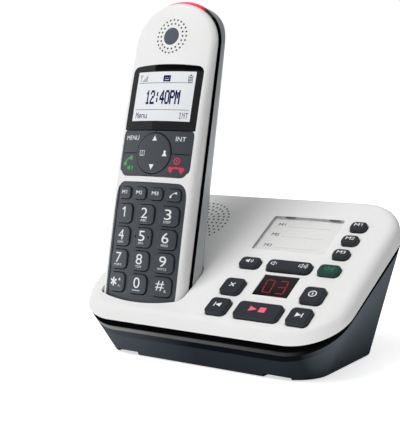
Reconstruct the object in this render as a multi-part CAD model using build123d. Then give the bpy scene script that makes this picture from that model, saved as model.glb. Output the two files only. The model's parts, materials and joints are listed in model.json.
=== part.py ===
from build123d import *
import os
from math import cos, degrees, radians, sin, sqrt, tan

# A cordless telephone: a slim handset that stands in a wedge-shaped answering-machine base.
# Millimetres, +Z up, -Y to the front. The origin is on the table under the middle of the base.

# General: clearances and the overrun of cuts
overrun = 60.0
reach = 500.0
seat_gap = 0.1
move_gap = 0.35

# Base: outline, slopes and walls
base_width = 140.0
base_depth = 90.0
rim_front_height = 17.6
rim_slope = 27.3
rim_corner = 24.0
panel_height = 48.4
panel_slope = 29.9
edge_inset = 2.6
edge_round = 5.0
foot_width = 113.0
foot_depth = 75.0
foot_corner = 17.0
base_wall = 2.4
foot_stand = 0.6
floor_thickness = 2.4
band_front_height = 7.0
band_side_height = 1.1
band_taper_end = -12.0
notch_x = 40.5
notch_width = 13.0
notch_depth = 4.0
notch_height = 1.5

# Handset: place, outline and faces
handset_x = -35.5
handset_y = -36.5
handset_z = 34.2
handset_lean = 12.5
handset_width = 47.0
handset_thickness = 26.0
handset_sunk = 16.0
shoulder_height = 109.5
top_rise = 30.0
bottom_corner = 9.0
crown_radius = 86.0
bow_radius = 1100.0
bow_height = 40.0
bow_margin = 10.0
rear_radius = 62.0
front_round = 3.4
rear_round = 6.5
handset_wall = 2.0
front_wall = 2.4
seam_depth = 9.2
trim_height = 1.8
trim_inset = 0.3
light_height = 128.0

# Handset: display, soft keys and keypad
face_width = 39.2
face_corner = 4.0
lens_bottom = 73.8
lens_shoulder = 102.6
lens_top = 105.4
lens_thickness = 3.0
window_width = 36.0
window_height = 27.0
display_height = 90.0
display_thickness = 2.2
soft_bottom = 51.2
navigation_radius = 9.7
navigation_rise = 0.5
pivot_radius = 2.0
pad_top = 48.5
pad_bottom = -12.5
pad_bottom_corner = 8.0
pad_thickness = 1.6
pad_sink = 0.3
pad_ledge = 1.3
key_column_pitch = 13.0
key_row_pitch = 11.0
key_width = 10.2
key_height = 9.2
key_corner = 2.6
key_rise = 0.7
key_edge = 0.45
key_bottom = 4.9
memory_key_height = 43.0
memory_key_pitch = 9.4
memory_key_width = 7.4
memory_key_length = 5.6
memory_key_corner = 1.8
key_travel = 0.8
mouth_hole_height = -9.0
mouth_hole_radius = 0.8

# Handset: what is inside
mat_thickness = 1.2
mat_margin = 1.0
board_thickness = 1.4
board_width = 40.0
board_bottom = -11.0
board_top = 103.0
board_corner = 4.0
earpiece_height = 119.5
earpiece_radius = 11.0
earpiece_thickness = 4.2
microphone_radius = 2.6
microphone_thickness = 2.2
cell_radius = 5.25
cell_length = 44.5
cell_pitch = 11.2
bay_height = 60.0
bay_width = 23.2
bay_length = 50.5
bay_wall = 3.4
bay_floor = 1.2
door_width = 26.4
door_length = 57.0
door_corner = 2.5
door_thickness = 1.8
contact_plate = 0.5
contact_size = 8.0
charge_pad_x = 9.0
charge_pad_depth = 17.0
charge_pad_size = 4.0
charge_pad_thickness = 1.0
charge_pin_radius = 1.5
charge_pin_length = 7.0
charge_pin_head = 2.4
charge_pin_head_length = 1.2

# Base: cradle, keys, card and counter
cradle_gap = 0.5
cradle_wall = 1.6
base_key_corner = 2.3
base_key_rise = 2.0
base_key_edge = 0.7
base_key_ear = 0.8
stem_radius = 1.5
stem_stand = 4.0
base_key_travel = 1.0
rocker_gap = 0.6
board_depth = 9.4
base_board_thickness = 1.6
switch_size = 6.0
base_board_left = -2.5
base_board_right = 61.0
base_board_front = -46.0
base_board_back = 34.0
base_board_corner = 6.0
post_radius = 2.0
post_front = -34.0
post_back = 30.0
post_inset = 2.0
counter_width = 17.8
counter_length = 14.3
counter_sink = 0.2
card_width = 38.2
card_length = 27.0
card_corner = 1.2
card_thickness = 0.4
card_window_thickness = 1.0
card_recess = 1.7
speaker_x = -34.0
speaker_y = 20.0
speaker_radius = 19.0
speaker_thickness = 8.0
speaker_flange = 2.0
speaker_magnet_radius = 10.0
foot_pad_radius = 5.0
foot_pad_thickness = 1.6
foot_pad_x = 42.0
foot_pad_y = 25.0
line_socket_x = 22.0
line_socket_width = 13.0
line_socket_height = 12.0
line_socket_depth = 14.0
line_opening_width = 9.6
line_opening_height = 6.6
line_opening_depth = 11.0
power_inlet_x = -22.0
power_inlet_width = 9.5
power_inlet_height = 11.0
power_inlet_depth = 13.0
power_bore_radius = 3.1
power_pin_radius = 0.9
power_bore_depth = 9.5
socket_height = 12.0

# Keys on the base: columns across the panel, rows up its slope, and sizes
left_column = 9.7
middle_column = 30.3
right_column = 50.5
memory_column = 51.3
message_row = -41.2
counter_row = -26.9
sound_row = -9.2
memory_row = 2.8
memory_pitch = 10.6
square_key = 10.4
bar_key_width = 22.2
sound_key_length = 7.0
base_memory_width = 8.0
base_memory_length = 6.4
counter_x = 29.6
counter_y = -22.3
card_x = 22.9
card_y = 16.2
base_keys = {
    "previous_key": (left_column, message_row, square_key, square_key),
    "play_stop_key": (middle_column, message_row, bar_key_width, square_key),
    "next_key": (right_column, message_row, square_key, square_key),
    "delete_key": (left_column, counter_row, square_key, square_key),
    "power_key": (right_column, counter_row, square_key, square_key),
    "ringer_mute_key": (left_column, sound_row, square_key, sound_key_length),
    "volume_rocker": (middle_column, sound_row, bar_key_width, sound_key_length),
    "speakerphone_key": (right_column, sound_row, square_key, sound_key_length),
}
for index in range(3):
    row = memory_row + (2 - index) * memory_pitch
    base_keys[f"base_memory_key_{index + 1}"] = (memory_column, row, base_memory_width, base_memory_length)

# Planes: the rim where the covers part, the key panel, and the handset's front face at its zero key


def sloped_plane(height, slope):
    """Plane over the middle of the base that rises to the back at the given slope."""
    normal = (0, -sin(radians(slope)), cos(radians(slope)))
    return Plane(origin=(0, 0, height), x_dir=(1, 0, 0), z_dir=normal)


rim_height = rim_front_height + base_depth / 2 * tan(radians(rim_slope))
rim_plane = sloped_plane(rim_height, rim_slope)
panel_plane = sloped_plane(panel_height, panel_slope)
rim_length = base_depth / cos(radians(rim_slope))
panel_width = base_width - 2 * edge_inset
panel_length = (base_depth - 2 * edge_inset) / cos(radians(panel_slope))
handset_plane = Plane(
    origin=(handset_x, handset_y, handset_z),
    x_dir=(1, 0, 0),
    z_dir=(0, -cos(radians(handset_lean)), sin(radians(handset_lean))),
)


def below(plane):
    """Everything under a plane."""
    return plane.location * Pos(0, 0, -reach / 2) * Box(reach, reach, reach)


def above(plane):
    """Everything over a plane."""
    return plane.location * Pos(0, 0, reach / 2) * Box(reach, reach, reach)


def prism(outline, low, high):
    """An outline in its own plane made a solid between two levels."""
    return extrude(Pos(0, 0, low) * outline, amount=high - low)


def placed_box(low, high):
    """A box between two opposite corners."""
    size = [b - a for a, b in zip(low, high)]
    middle = [(a + b) / 2 for a, b in zip(low, high)]
    return Pos(*middle) * Box(*size)


# Handset forms, in the handset's own frame: X across, Y up its length, Z out of its front face


def handset_outline(inset):
    """Front view: straight sides, an elliptical top and rounded lower corners."""
    half = handset_width / 2 - inset
    low = inset - handset_sunk
    sides = Pos(0, (low + shoulder_height) / 2) * Rectangle(2 * half, shoulder_height - low)
    sides = fillet(sides.vertices().sort_by(Axis.Y)[:2], bottom_corner - inset)
    return sides + Pos(0, shoulder_height) * Ellipse(half, top_rise - inset)


def arch(half, radius, level, foot):
    """Upright face under an arc that peaks at level in the middle."""
    drop = radius - sqrt(radius**2 - half**2)
    left, right = (-half, level - drop), (half, level - drop)
    edges = ThreePointArc(left, (0, level), right) + Polyline(right, (half, foot), (-half, foot), left)
    return make_face(edges)


def front_level(height):
    """Level of the front face on its centre line at a height up the handset."""
    return sqrt(bow_radius**2 - (height - bow_height) ** 2) - bow_radius


def front_form(level):
    """Everything under the handset's crowned and bowed front face, moved out by level."""
    top = shoulder_height + top_rise
    sections = []
    for height in (-handset_sunk - bow_margin, bow_height, top + bow_margin):
        face = arch(handset_width, crown_radius, level + front_level(height), -overrun)
        sections.append(Pos(0, height, 0) * (Plane.XZ * face))
    return loft(sections)


def rear_form(level):
    """Everything over the handset's crowned back, moved out by level."""
    section = Plane.XZ * arch(handset_width, rear_radius, handset_thickness + level, -overrun)
    solid = extrude(section, amount=reach / 2, both=True)
    return solid.rotate(Axis.Y, 180)


front_skin = front_form(0)
rear_skin = rear_form(0)
trim_top = -seam_depth
trim_bottom = -seam_depth - trim_height
soft_top = lens_bottom - seat_gap
soft_middle = (soft_bottom + soft_top) / 2
mat_top = -key_bottom - key_travel - move_gap
mat_bottom = mat_top - mat_thickness
display_tilt = degrees((display_height - bow_height) / bow_radius)
display_seat = Plane(
    origin=(0, display_height, front_level(display_height) - lens_thickness),
    x_dir=(1, 0, 0),
    z_dir=(0, sin(radians(display_tilt)), cos(radians(display_tilt))),
)


def lens_outline(inset):
    """Display lens seen from the front: square foot, rounded shoulders and a gently arched top."""
    half = face_width / 2 - inset
    foot, shoulder = lens_bottom + inset, lens_shoulder - inset
    left, right = (-half, shoulder), (half, shoulder)
    top = ThreePointArc(left, (0, lens_top - inset), right)
    outline = make_face(top + Polyline(right, (half, foot), (-half, foot), left))
    return fillet(outline.vertices().sort_by(Axis.Y)[-2:], face_corner - inset)


def soft_outline(inset):
    """Field of the soft keys: square top against the lens and rounded lower corners."""
    height = soft_top - soft_bottom - 2 * inset
    field = Pos(0, soft_middle) * Rectangle(face_width - 2 * inset, height)
    return fillet(field.vertices().sort_by(Axis.Y)[:2], face_corner - inset)


def pad_outline(inset):
    """Keypad field: rounded top corners and rounder lower ones."""
    height = pad_top - pad_bottom - 2 * inset
    field = Pos(0, (pad_top + pad_bottom) / 2) * Rectangle(face_width - 2 * inset, height)
    field = fillet(field.vertices().sort_by(Axis.Y)[-2:], face_corner - inset)
    return fillet(field.vertices().sort_by(Axis.Y)[:2], pad_bottom_corner - inset)


def key_outline(grow):
    """One digit key with its corners."""
    return RectangleRounded(key_width + 2 * grow, key_height + 2 * grow, key_corner + grow)


def memory_key_outline(grow):
    """One small memory key with its corners."""
    width, length = memory_key_width + 2 * grow, memory_key_length + 2 * grow
    return RectangleRounded(width, length, memory_key_corner + grow)


digit_names = ["1", "2", "3", "4", "5", "6", "7", "8", "9", "star", "0", "hash"]
digit_places = {}
for index, digit in enumerate(digit_names):
    column, row = index % 3, index // 3
    digit_places["key_" + digit] = ((column - 1) * key_column_pitch, (3 - row) * key_row_pitch)
memory_names = ["memory_key_1", "memory_key_2", "memory_key_3", "line_key"]
memory_places = {}
for index, name in enumerate(memory_names):
    memory_places[name] = ((index - (len(memory_names) - 1) / 2) * memory_key_pitch, memory_key_height)

nodes = {}


def add_handset(name, solid):
    """Keep a handset piece, set in its place in the base."""
    nodes[name] = handset_plane.location * solid


def add_panel(name, solid):
    """Keep a piece that was drawn on the base's key panel."""
    nodes[name] = panel_plane.location * solid


# Handset covers, trim and light
blank = prism(handset_outline(0), trim_top, overrun) & front_skin
blank = fillet(blank.faces().sort_by(Axis.Z)[-1].edges(), front_round)
hollow = prism(handset_outline(handset_wall), trim_top, overrun) & front_form(-front_wall)
lens_recess = prism(lens_outline(-seat_gap), -overrun, overrun) & above(display_seat)
lens_window = Pos(0, display_height) * Rectangle(window_width, window_height)
pad_recess = prism(pad_outline(-seat_gap), -overrun, overrun) - front_form(-pad_sink - pad_thickness)
front_cover = blank - hollow - lens_recess - pad_recess
front_cover -= prism(lens_window, -overrun, overrun)
front_cover -= prism(soft_outline(0), -overrun, overrun)
front_cover -= prism(pad_outline(pad_ledge), -overrun, overrun)
add_handset("handset_front_cover", front_cover)

ring = prism(handset_outline(trim_inset), trim_bottom, trim_top)
ring -= prism(handset_outline(handset_wall), trim_bottom, trim_top)
light_zone = placed_box((-reach, light_height, -reach), (reach, reach, reach))
add_handset("handset_trim_band", ring - light_zone)
add_handset("top_light_pipe", ring & light_zone)

blank = prism(handset_outline(0), -overrun, trim_bottom) & rear_skin
blank = fillet(blank.faces().sort_by(Axis.Z)[0].edges(), rear_round)
hollow = prism(handset_outline(handset_wall), -overrun, trim_bottom) & rear_form(-handset_wall)
bay_at = Pos(0, bay_height)
tray = prism(bay_at * Rectangle(bay_width + 2 * bay_wall, bay_length + 2 * bay_wall), -overrun, trim_bottom)
bay = prism(bay_at * Rectangle(bay_width, bay_length), -overrun, trim_bottom - bay_floor)
door_field = bay_at * RectangleRounded(door_width, door_length, door_corner)
door_recess = prism(door_field, -overrun, 0) - rear_form(-door_thickness - move_gap)
pad_seats = prism(
    Pos(-charge_pad_x, -handset_sunk) * Rectangle(charge_pad_size, 2 * charge_pad_thickness)
    + Pos(charge_pad_x, -handset_sunk) * Rectangle(charge_pad_size, 2 * charge_pad_thickness),
    -charge_pad_depth - charge_pad_size / 2,
    -charge_pad_depth + charge_pad_size / 2,
)
rear_cover = blank - hollow + (tray & blank) - bay - door_recess - pad_seats
add_handset("handset_rear_cover", rear_cover)

door_outline = bay_at * RectangleRounded(door_width - 2 * move_gap, door_length - 2 * move_gap, door_corner)
battery_door = (prism(door_outline, -overrun, 0) & rear_skin) - rear_form(-door_thickness)
add_handset("battery_door", battery_door)

# Display lens and module
lens = prism(lens_outline(0), -overrun, overrun) & front_skin & above(display_seat)
add_handset("display_lens", lens)
module = Rectangle(window_width - 2 * move_gap, window_height - 2 * move_gap)
add_handset("display_module", display_seat.location * prism(module, -display_thickness, 0))

# Keypad field with a hole for each key, and the mouthpiece hole
pad = prism(pad_outline(0), -overrun, overrun) & front_form(-pad_sink)
pad -= front_form(-pad_sink - pad_thickness)
for x, y in digit_places.values():
    pad -= prism(Pos(x, y) * key_outline(move_gap), -overrun, overrun)
for x, y in memory_places.values():
    pad -= prism(Pos(x, y) * memory_key_outline(move_gap), -overrun, overrun)
pad -= prism(Pos(0, mouth_hole_height) * Circle(mouth_hole_radius), -overrun, overrun)
add_handset("keypad_panel", pad)

# Digit and memory keys, crowned like the face
key_skin = front_form(key_rise)


def handset_key(outline):
    """A key cap that follows the crowned face, with softened edges."""
    cap = prism(outline, -key_bottom, overrun) & key_skin
    return fillet(cap.faces().sort_by(Axis.Z)[-1].edges(), key_edge)


for name, (x, y) in digit_places.items():
    add_handset(name, handset_key(Pos(x, y) * key_outline(0)))
for name, (x, y) in memory_places.items():
    add_handset(name, handset_key(Pos(x, y) * memory_key_outline(0)))

# Soft keys in the four corners round the navigation key
soft_field = soft_outline(move_gap) - Pos(0, soft_middle) * Circle(navigation_radius + move_gap + seat_gap)
soft_keys = {"menu_key": (-1, 1), "intercom_key": (1, 1), "talk_key": (-1, -1), "end_key": (1, -1)}
for name, (side, end) in soft_keys.items():
    shift = (face_width + move_gap) / 2
    corner = Pos(side * shift, soft_middle + end * shift) * Rectangle(face_width, face_width)
    add_handset(name, prism(soft_field & corner, -key_bottom, overrun) & front_skin)
navigation = prism(Pos(0, soft_middle) * Circle(navigation_radius), -key_bottom, overrun)
navigation = navigation & front_form(navigation_rise)
navigation = fillet(navigation.faces().sort_by(Axis.Z)[-1].edges(), key_edge)
add_handset("navigation_key", navigation)
pivot = prism(Pos(0, soft_middle) * Circle(pivot_radius), mat_top + move_gap, -key_bottom - move_gap)
add_handset("navigation_pivot", pivot)

# Key mat, circuit board and sound pieces
mat_low, mat_high = -key_height / 2 - mat_margin, soft_top
mat = Pos(0, (mat_low + mat_high) / 2) * Rectangle(board_width, mat_high - mat_low)
add_handset("keypad_mat", prism(mat, mat_bottom, mat_top))
board_bottom_level = mat_bottom - board_thickness
board = RectangleRounded(board_width, board_top - board_bottom, board_corner)
board = Pos(0, (board_bottom + board_top) / 2) * board
add_handset("handset_circuit_board", prism(board, board_bottom_level, mat_bottom))
earpiece_drop = crown_radius - sqrt(crown_radius**2 - earpiece_radius**2)
earpiece_top = front_level(earpiece_height + earpiece_radius) - front_wall - earpiece_drop - seat_gap
earpiece_low = earpiece_top - earpiece_thickness
earpiece = prism(Pos(0, earpiece_height) * Circle(earpiece_radius), earpiece_low, earpiece_top)
add_handset("earpiece_receiver", earpiece)
capsule = Pos(0, mouth_hole_height - microphone_radius + mouth_hole_radius) * Circle(microphone_radius)
add_handset("microphone", prism(capsule, mat_bottom, mat_bottom + microphone_thickness))

# Battery cells with their contacts, and the charging pads in the handset's foot
cell_level = trim_bottom - bay_floor - seat_gap - cell_radius
cells = Compound([
    Pos(side * cell_pitch / 2, bay_height, cell_level) * Rot(90, 0, 0) * Cylinder(cell_radius, cell_length)
    for side in (-1, 1)
])
add_handset("battery_cells", cells)
plates = []
for end in (-1, 1):
    low = bay_height + end * bay_length / 2
    high = low - end * contact_plate
    for side in (-1, 1):
        x = side * cell_pitch / 2
        ends = sorted((low, high))
        plates.append(placed_box(
            (x - contact_size / 2, ends[0], cell_level - contact_size / 2),
            (x + contact_size / 2, ends[1], cell_level + contact_size / 2),
        ))
add_handset("battery_contacts", Compound(plates))
charge_pads = Compound([
    placed_box(
        (side * charge_pad_x - charge_pad_size / 2, -handset_sunk, -charge_pad_depth - charge_pad_size / 2),
        (side * charge_pad_x + charge_pad_size / 2, charge_pad_thickness - handset_sunk,
         -charge_pad_depth + charge_pad_size / 2),
    )
    for side in (-1, 1)
])
add_handset("handset_charge_contacts", charge_pads)

# Base forms


def lower_form(inset, floor):
    """Base below its rim, drawn in by inset: a foot on the table that widens to the sloping rim."""
    foot = RectangleRounded(foot_width - 2 * inset, foot_depth - 2 * inset, foot_corner - inset)
    foot = Pos(0, 0, floor) * foot
    rim = rim_plane * RectangleRounded(base_width - 2 * inset, rim_length - 2 * inset, rim_corner - inset)
    return loft([foot, rim], ruled=True)


def cover_form(inset, sink):
    """Base above its rim, drawn in by inset and sunk: the sloping key panel on its rolled edge."""
    rim = rim_plane * RectangleRounded(base_width - 2 * inset, rim_length - 2 * inset, rim_corner - inset)
    corner = rim_corner - edge_inset - inset
    top = RectangleRounded(panel_width - 2 * inset, panel_length - 2 * inset, corner)
    return loft([rim, panel_plane.offset(-sink) * top], ruled=True)


def cradle_section(grow):
    """Handset seen along its length, with clearance: crowned front and back and rounded long edges."""
    half = handset_width / 2 + grow
    front_drop = crown_radius - sqrt(crown_radius**2 - half**2)
    rear_drop = rear_radius - sqrt(rear_radius**2 - half**2)
    back = -handset_thickness - grow
    front_left, front_right = (-half, grow - front_drop), (half, grow - front_drop)
    rear_left, rear_right = (-half, back + rear_drop), (half, back + rear_drop)
    edges = ThreePointArc(front_left, (0, grow), front_right) + Line(front_right, rear_right)
    edges += ThreePointArc(rear_right, (0, back), rear_left) + Line(rear_left, front_left)
    outline = make_face(edges)
    outline = fillet(outline.vertices().sort_by(Axis.Y)[-2:], front_round + grow)
    return fillet(outline.vertices().sort_by(Axis.Y)[:2], rear_round + grow)


def cradle_form(grow, depth):
    """Room for the handset with clearance, from a depth below its foot upwards along its lean."""
    section = Pos(0, -handset_sunk - depth, 0) * (Plane.XZ * cradle_section(grow))
    return handset_plane.location * extrude(section, amount=-overrun)


cover_outer = cover_form(0, 0)
panel_face = cover_outer.faces().sort_by(Axis((0, 0, 0), panel_plane.z_dir))[-1]
cover_outer = fillet(panel_face.edges(), edge_round)
lower_outer = lower_form(0, foot_stand)
base_outer = cover_outer + lower_outer
cradle_room = cradle_form(cradle_gap, cradle_gap)
cradle_block = cradle_form(cradle_gap + cradle_wall, cradle_gap + cradle_wall)
cradle_clear = cradle_form(cradle_gap + cradle_wall + seat_gap, cradle_gap + cradle_wall + seat_gap)

# Top cover: rolled edge, key openings, card recess, posts for the board and the handset's cradle


def panel_prism(x, y, outline, low, high):
    """A prism drawn on the key panel at a place, between two levels."""
    return panel_plane.location * prism(Pos(x, y) * outline, low, high)


def key_cap_outline(width, length, grow):
    """A base key with its corners."""
    return RectangleRounded(width + 2 * grow, length + 2 * grow, base_key_corner + grow)


top_cover = cover_outer - cover_form(base_wall, base_wall)
top_cover += cradle_block & base_outer
card_tray = RectangleRounded(card_width + 2 * base_wall, card_length + 2 * base_wall, card_corner)
top_cover += panel_prism(card_x, card_y, card_tray, -card_recess - base_wall, -base_wall)
for x in (base_board_left + post_inset, base_board_right - post_inset):
    for y in (post_front, post_back):
        top_cover += panel_prism(x, y, Circle(post_radius), -board_depth, -base_wall)
ring = Circle(speaker_radius + speaker_flange) - Circle(speaker_radius - speaker_flange)
top_cover += panel_prism(speaker_x, speaker_y, ring, -2 * base_wall, -base_wall)
top_cover -= cradle_room
card_hole = RectangleRounded(card_width, card_length, card_corner)
top_cover -= panel_prism(card_x, card_y, card_hole, -card_recess, overrun)
counter_hole = Rectangle(counter_width + 2 * seat_gap, counter_length + 2 * seat_gap)
top_cover -= panel_prism(counter_x, counter_y, counter_hole, -overrun, overrun)
ear_top = -base_wall - move_gap
ear_low = ear_top - base_key_ear
key_room = ear_low - base_key_travel - move_gap
for name, (x, y, width, length) in base_keys.items():
    gap = rocker_gap if name == "volume_rocker" else move_gap
    top_cover -= panel_prism(x, y, key_cap_outline(width, length, gap), key_room, overrun)
pin_holes = Compound([
    handset_plane.location * Pos(side * charge_pad_x, -handset_sunk, -charge_pad_depth)
    * Rot(90, 0, 0) * Cylinder(charge_pin_radius + move_gap, overrun)
    for side in (-1, 1)
])
top_cover -= pin_holes
nodes["base_top_cover"] = top_cover

# Trim band: deep at the front, tapering to a thin line along the sides and back
band_front = (-base_depth / 2, rim_front_height - band_front_height)
taper_rise = (band_taper_end + base_depth / 2) * tan(radians(rim_slope))
taper_height = rim_front_height + taper_rise - band_side_height
band_rise = (taper_height - band_front[1]) / (band_taper_end - band_front[0])
band_plane = Plane(
    origin=(0, band_front[0], band_front[1]),
    x_dir=(1, 0, 0),
    z_dir=(0, -band_rise / sqrt(1 + band_rise**2), 1 / sqrt(1 + band_rise**2)),
)
shell_zone = below(rim_plane.offset(-band_side_height)) & below(band_plane)
shell_ring = lower_outer - lower_form(base_wall, foot_stand + floor_thickness)
nodes["base_trim_band"] = shell_ring - shell_zone - cradle_clear

# Lower shell: a tapering tub with foot notches, pad wells and openings for the two sockets
lower_shell = shell_ring & shell_zone
for side in (-1, 1):
    notch_low = (side * notch_x - notch_width / 2, -reach, 0)
    notch_high = (side * notch_x + notch_width / 2, notch_depth - foot_depth / 2, foot_stand + notch_height)
    lower_shell -= placed_box(notch_low, notch_high)
rear_wall_rise = rim_front_height + base_depth * tan(radians(rim_slope)) - foot_stand
rear_lean = (base_depth - foot_depth) / 2 / rear_wall_rise
rear_face_y = foot_depth / 2 + socket_height * rear_lean


def socket_box(x, width, height, depth, grow, end):
    """Block of a socket that stands in the back wall of the base, as far back as end."""
    return placed_box(
        (x - width / 2 - grow, rear_face_y - depth, socket_height - height / 2 - grow),
        (x + width / 2 + grow, end, socket_height + height / 2 + grow),
    )


line_size = (line_socket_x, line_socket_width, line_socket_height, line_socket_depth)
power_size = (power_inlet_x, power_inlet_width, power_inlet_height, power_inlet_depth)
line_block = socket_box(*line_size, 0, rear_face_y)
power_block = socket_box(*power_size, 0, rear_face_y)
lower_shell -= socket_box(*line_size, seat_gap, reach)
lower_shell -= socket_box(*power_size, seat_gap, reach)
lower_shell -= cradle_clear
foot_places = [(sx * foot_pad_x, sy * foot_pad_y) for sx in (-1, 1) for sy in (-1, 1)]
foot_pads = []
for x, y in foot_places:
    foot_pads.append(Pos(x, y) * prism(Circle(foot_pad_radius), 0, foot_pad_thickness))
    lower_shell -= Pos(x, y) * prism(Circle(foot_pad_radius + seat_gap), 0, foot_pad_thickness)
nodes["base_lower_shell"] = lower_shell
nodes["rubber_feet"] = Compound(foot_pads)

# Sockets in the back wall
line_hole = socket_box(line_socket_x, line_opening_width, line_opening_height, line_opening_depth, 0, reach)
nodes["line_socket"] = line_block - line_hole
bore_at = Pos(power_inlet_x, rear_face_y, socket_height) * Rot(90, 0, 0)
bore = bore_at * Cylinder(power_bore_radius, 2 * power_bore_depth)
pin = bore_at * Pos(0, 0, power_bore_depth / 2) * Cylinder(power_pin_radius, power_bore_depth)
nodes["power_inlet"] = power_block - bore + pin

# Base keys: a cap through the panel, two ears under it and a stem down to its switch
stem_low = stem_stand - board_depth
switch_top = stem_low - base_key_travel - move_gap
board_middle = ((base_board_left + base_board_right) / 2, (base_board_front + base_board_back) / 2)
board_size = (base_board_right - base_board_left, base_board_back - base_board_front)
board_field = Pos(*board_middle) * RectangleRounded(*board_size, base_board_corner)
base_board = prism(board_field, -board_depth - base_board_thickness, -board_depth)
for name, (x, y, width, length) in base_keys.items():
    cap = prism(Pos(x, y) * key_cap_outline(width, length, 0), ear_low, base_key_rise)
    cap = fillet(cap.faces().sort_by(Axis.Z)[-1].edges(), base_key_edge)
    if name != "volume_rocker":
        cap += prism(Pos(x, y) * Rectangle(width + 2 * base_key_ear, length / 3), ear_low, ear_top)
    cap += prism(Pos(x, y) * Circle(stem_radius), stem_low, ear_low)
    add_panel(name, cap)
    base_board += prism(Pos(x, y) * Rectangle(switch_size, switch_size), -board_depth, switch_top)
add_panel("base_circuit_board", base_board)

# Message counter, index card and its window
counter = Pos(counter_x, counter_y) * Rectangle(counter_width, counter_length)
add_panel("message_counter", prism(counter, -board_depth, -counter_sink))
card_at = Pos(card_x, card_y)
card = card_at * RectangleRounded(card_width - 2 * seat_gap, card_length - 2 * seat_gap, card_corner)
add_panel("index_card", prism(card, -card_recess, card_thickness - card_recess))
window_low = card_thickness - card_recess + seat_gap
add_panel("card_window", prism(card, window_low, window_low + card_window_thickness))

# Loudspeaker under the panel and the charging pins under the cradle
speaker_at = Pos(speaker_x, speaker_y)
speaker_top = -2 * base_wall
speaker = prism(speaker_at * Circle(speaker_radius), speaker_top - speaker_flange, speaker_top)
cone_low = speaker_top - speaker_thickness
speaker += prism(speaker_at * Circle(speaker_magnet_radius), cone_low, speaker_top - speaker_flange)
add_panel("base_loudspeaker", speaker)
pin_top = -handset_sunk - move_gap
pins = []
for side in (-1, 1):
    at = Pos(side * charge_pad_x, pin_top, -charge_pad_depth) * Rot(90, 0, 0)
    pin = at * prism(Circle(charge_pin_radius), 0, charge_pin_length)
    head_low = cradle_gap + cradle_wall
    pins.append(pin + at * prism(Circle(charge_pin_head), head_low, head_low + charge_pin_head_length))
add_handset("charging_pins", Compound(pins))

os.makedirs("parts", exist_ok=True)
for name, solid in nodes.items():
    export_step(solid, f"parts/{name}.step")
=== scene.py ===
import json
from math import cos, radians, sin

import bmesh
import bpy
import numpy as np
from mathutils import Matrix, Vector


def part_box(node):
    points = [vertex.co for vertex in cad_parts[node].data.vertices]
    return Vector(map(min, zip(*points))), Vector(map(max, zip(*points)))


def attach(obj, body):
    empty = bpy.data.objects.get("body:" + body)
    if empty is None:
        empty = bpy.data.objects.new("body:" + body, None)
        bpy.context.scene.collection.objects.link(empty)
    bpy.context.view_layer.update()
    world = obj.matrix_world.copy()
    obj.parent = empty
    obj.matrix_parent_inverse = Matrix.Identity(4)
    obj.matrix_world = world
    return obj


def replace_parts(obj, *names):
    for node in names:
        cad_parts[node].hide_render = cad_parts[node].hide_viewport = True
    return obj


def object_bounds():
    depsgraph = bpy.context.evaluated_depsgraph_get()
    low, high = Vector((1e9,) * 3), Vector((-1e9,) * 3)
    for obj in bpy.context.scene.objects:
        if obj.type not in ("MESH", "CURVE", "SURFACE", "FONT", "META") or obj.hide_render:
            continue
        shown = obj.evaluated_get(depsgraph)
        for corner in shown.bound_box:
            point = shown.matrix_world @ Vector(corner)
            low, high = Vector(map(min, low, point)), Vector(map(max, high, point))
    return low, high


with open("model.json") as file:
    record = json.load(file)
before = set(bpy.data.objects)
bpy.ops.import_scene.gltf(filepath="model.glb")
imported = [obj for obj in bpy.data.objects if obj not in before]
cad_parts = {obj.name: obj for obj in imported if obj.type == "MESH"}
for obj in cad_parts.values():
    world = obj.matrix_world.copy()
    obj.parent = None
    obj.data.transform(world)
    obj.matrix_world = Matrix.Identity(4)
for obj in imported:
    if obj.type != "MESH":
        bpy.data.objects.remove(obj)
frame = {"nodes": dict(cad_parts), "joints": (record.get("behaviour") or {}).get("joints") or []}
cad_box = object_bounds()

# Lower shell of the base: a slate tub of moulded plastic that carries the weight and narrows to its foot.
# It comes out of a two-part mould with an even satin grain, and the covers clip to its rim.
mm = 0.001
slate_colour = (0.034, 0.042, 0.052)
cloud_scale, cloud_detail, gloss_spread = 45.0, 4.0, 0.12
speckle_detail, bump_strength = 2.0, 0.5


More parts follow.
